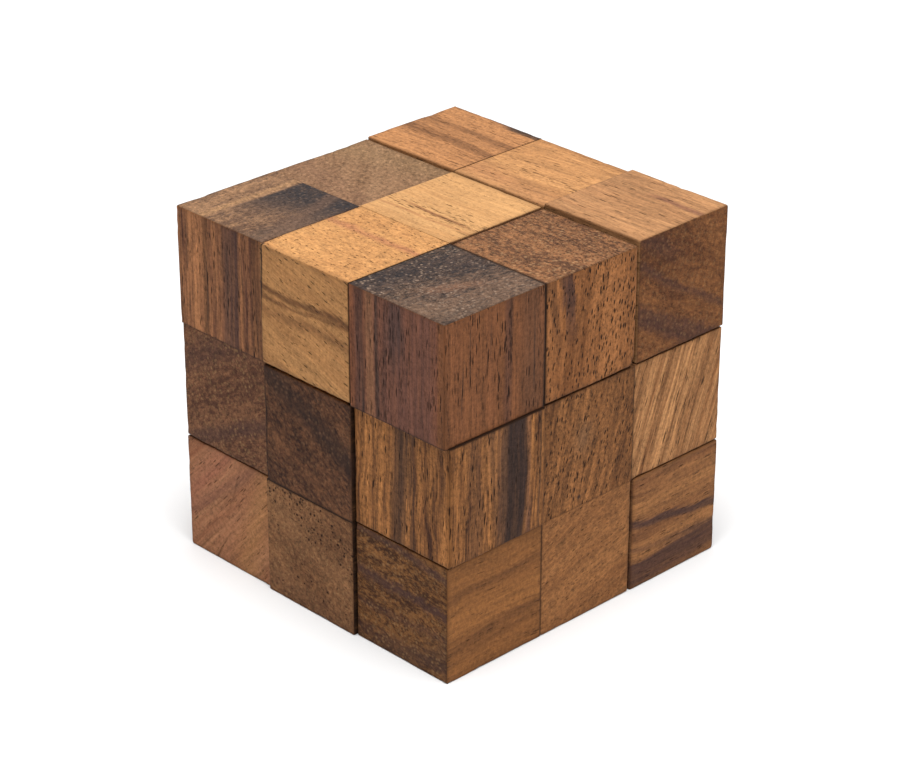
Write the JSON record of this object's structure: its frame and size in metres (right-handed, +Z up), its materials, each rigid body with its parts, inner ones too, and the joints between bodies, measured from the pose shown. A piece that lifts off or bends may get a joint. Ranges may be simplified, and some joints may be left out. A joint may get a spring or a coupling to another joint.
{
  "type": "wooden cube puzzle",
  "caption": "Wooden cube puzzle of glued cubelet pieces in mixed brown hardwoods; each outer piece slides straight out of the assembled cube.",
  "frame": {"origin": "centre of the underside of the assembled cube, on the surface that it rests on", "axes": "+Z up; +X and +Y along the level edges of the cube. The tripod piece holds the top corner at +X -Y, and the L piece lies along the top of the +Y side"},
  "size_m": [0.0762, 0.0764, 0.0758],
  "materials": {
    "brown_wood": "satin",
    "golden_wood": "satin",
    "orange_wood": "satin",
    "tan_wood": "satin",
    "olive_brown_wood": "satin",
    "purple_brown_wood": "satin",
    "pale_wood": "satin",
    "dark_brown_wood": "satin"
  },
  "bodies": {
    "v_piece": {"v_piece_corner_cube": "brown_wood", "v_piece_side_cube": "golden_wood", "v_piece_lower_cube": "orange_wood"},
    "l_piece": {"l_piece_foot_cube": "golden_wood", "l_piece_corner_cube": "orange_wood", "l_piece_middle_cube": "tan_wood", "l_piece_end_cube": "tan_wood"},
    "t_piece": {"t_piece_left_cube": "olive_brown_wood", "t_piece_centre_cube": "golden_wood", "t_piece_right_cube": "brown_wood", "t_piece_stem_cube": "orange_wood"},
    "z_piece": {"z_piece_low_end_cube": "golden_wood", "z_piece_low_middle_cube": "golden_wood", "z_piece_high_middle_cube": "brown_wood", "z_piece_high_end_cube": "tan_wood"},
    "tripod": {"tripod_centre_cube": "purple_brown_wood", "tripod_left_cube": "pale_wood", "tripod_right_cube": "brown_wood", "tripod_lower_cube": "golden_wood"},
    "left_screw": {"left_screw_foot_cube": "dark_brown_wood", "left_screw_corner_cube": "brown_wood", "left_screw_middle_cube": "olive_brown_wood", "left_screw_tip_cube": "pale_wood"},
    "right_screw": {"right_screw_tail_cube": "brown_wood", "right_screw_corner_cube": "orange_wood", "right_screw_middle_cube": "olive_brown_wood", "right_screw_tip_cube": "dark_brown_wood"}
  },
  "joints": [
    {"name": "l_piece_slide", "type": "slide", "parent": "v_piece", "child": "l_piece", "axis": [0, 1, 0], "range_m": [0, 0.03]},
    {"name": "t_piece_slide", "type": "slide", "parent": "v_piece", "child": "t_piece", "axis": [0, 1, 0], "range_m": [0, 0.03]},
    {"name": "z_piece_slide", "type": "slide", "parent": "v_piece", "child": "z_piece", "axis": [1, 0, 0], "range_m": [0, 0.03]},
    {"name": "right_screw_slide", "type": "slide", "parent": "v_piece", "child": "right_screw", "axis": [0, -1, 0], "range_m": [0, 0.055]},
    {"name": "tripod_slide", "type": "slide", "parent": "v_piece", "child": "tripod", "axis": [0, 0, 1], "range_m": [0, 0.055]},
    {"name": "left_screw_slide", "type": "slide", "parent": "v_piece", "child": "left_screw", "axis": [0, 0, 1], "range_m": [0, 0.055]}
  ]
}
